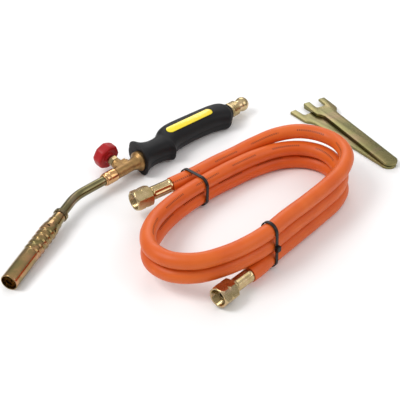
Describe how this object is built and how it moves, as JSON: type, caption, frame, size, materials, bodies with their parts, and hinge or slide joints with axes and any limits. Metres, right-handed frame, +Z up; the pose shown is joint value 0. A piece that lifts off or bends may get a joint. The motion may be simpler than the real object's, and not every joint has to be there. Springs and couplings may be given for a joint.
{
  "type": "propane torch kit",
  "caption": "Hand-held propane torch with a side valve knob, grooved burner and plastic grip, with its coiled gas hose with swivel nuts and a pair of flat fork spanners",
  "frame": {"origin": "middle of the bounding box at its base, which is the floor the kit lies on; measured without the hose set", "axes": "+Z up; +X from the burner towards the torch's gas inlet, along the torch's barrel; +Y from the spanners' round ends towards the torch"},
  "size_m": [0.4534, 0.2447, 0.0496],
  "materials": {
    "burner_brass": "satin",
    "polished_brass": "polished",
    "forged_brass": "as forged, satin",
    "turned_brass": "turned, satin",
    "plated_steel": "nickel-toned plating",
    "passivated_steel": "yellow zinc passivate",
    "stainless_steel": "satin",
    "black_nylon": "fine moulded texture",
    "red_plastic": "satin gloss",
    "yellow_label": "printed film",
    "ptfe": "satin",
    "nitrile": "matt",
    "orange_rubber": "satin",
    "black_tie": "satin"
  },
  "bodies": {
    "torch": {"burner_tube": "burner_brass", "flame_holder": "turned_brass", "burner_neck": "burner_brass", "jet_nozzle": "turned_brass", "lock_ring": "plated_steel", "neck_tube": "plated_steel", "neck_collar": "polished_brass", "collar_ring": "polished_brass", "valve_body": "forged_brass", "gland_nut": "turned_brass", "stem_packing": "ptfe", "handle_upper": "black_nylon", "handle_lower": "black_nylon", "label_strip": "yellow_label", "gas_pipe": "turned_brass", "rear_washer": "nitrile", "inlet_connector": "turned_brass"},
    "valve_stem": {"valve_stem": "turned_brass"},
    "knob": {"control_knob": "red_plastic", "knob_screw": "stainless_steel"},
    "hose": {"gas_hose": "orange_rubber", "ferrule_a": "turned_brass", "hose_tail_a": "turned_brass", "ferrule_b": "turned_brass", "hose_tail_b": "turned_brass", "cable_tie_1": "black_tie", "cable_tie_2": "black_tie"},
    "nut_a": {"swivel_nut_a": "turned_brass"},
    "nut_b": {"swivel_nut_b": "turned_brass"},
    "spanner_lower": {"spanner_lower": "passivated_steel"},
    "spanner_upper": {"spanner_upper": "passivated_steel"}
  },
  "joints": [
    {"name": "stem_lift", "type": "slide", "parent": "torch", "child": "valve_stem", "axis": [0.002, 0.9848, 0.1736], "range_m": [0, 0.002]},
    {"name": "knob_turn", "type": "hinge", "parent": "valve_stem", "child": "knob", "pos_m": [-0.03704, 0.09613, 0.01809], "axis": [0.002, 0.9848, 0.1736], "range_deg": [0, 720]},
    {"name": "hose_lift", "type": "slide", "parent": "torch", "child": "hose", "axis": [0, 0, 1], "range_m": [0, 0.12]},
    {"name": "nut_a_turn", "type": "hinge", "parent": "hose", "child": "nut_a", "pos_m": [-0.06721, 0.02009, 0.02226], "axis": [-0.9775, 0.2046, -0.0512], "continuous": true},
    {"name": "nut_b_turn", "type": "hinge", "parent": "hose", "child": "nut_b", "pos_m": [-0.10656, -0.12303, 0.01168], "axis": [-0.9995, -0.0281, 0.0142], "continuous": true},
    {"name": "spanner_lower_lift", "type": "slide", "parent": "torch", "child": "spanner_lower", "axis": [0, 0, 1], "range_m": [0, 0.1]},
    {"name": "spanner_upper_lift", "type": "slide", "parent": "spanner_lower", "child": "spanner_upper", "axis": [0, 0, 1], "range_m": [0, 0.1]}
  ],
  "couplings": [
    {"joint": "stem_lift", "follows": "knob_turn", "m_per_rad": 0.000159}
  ]
}
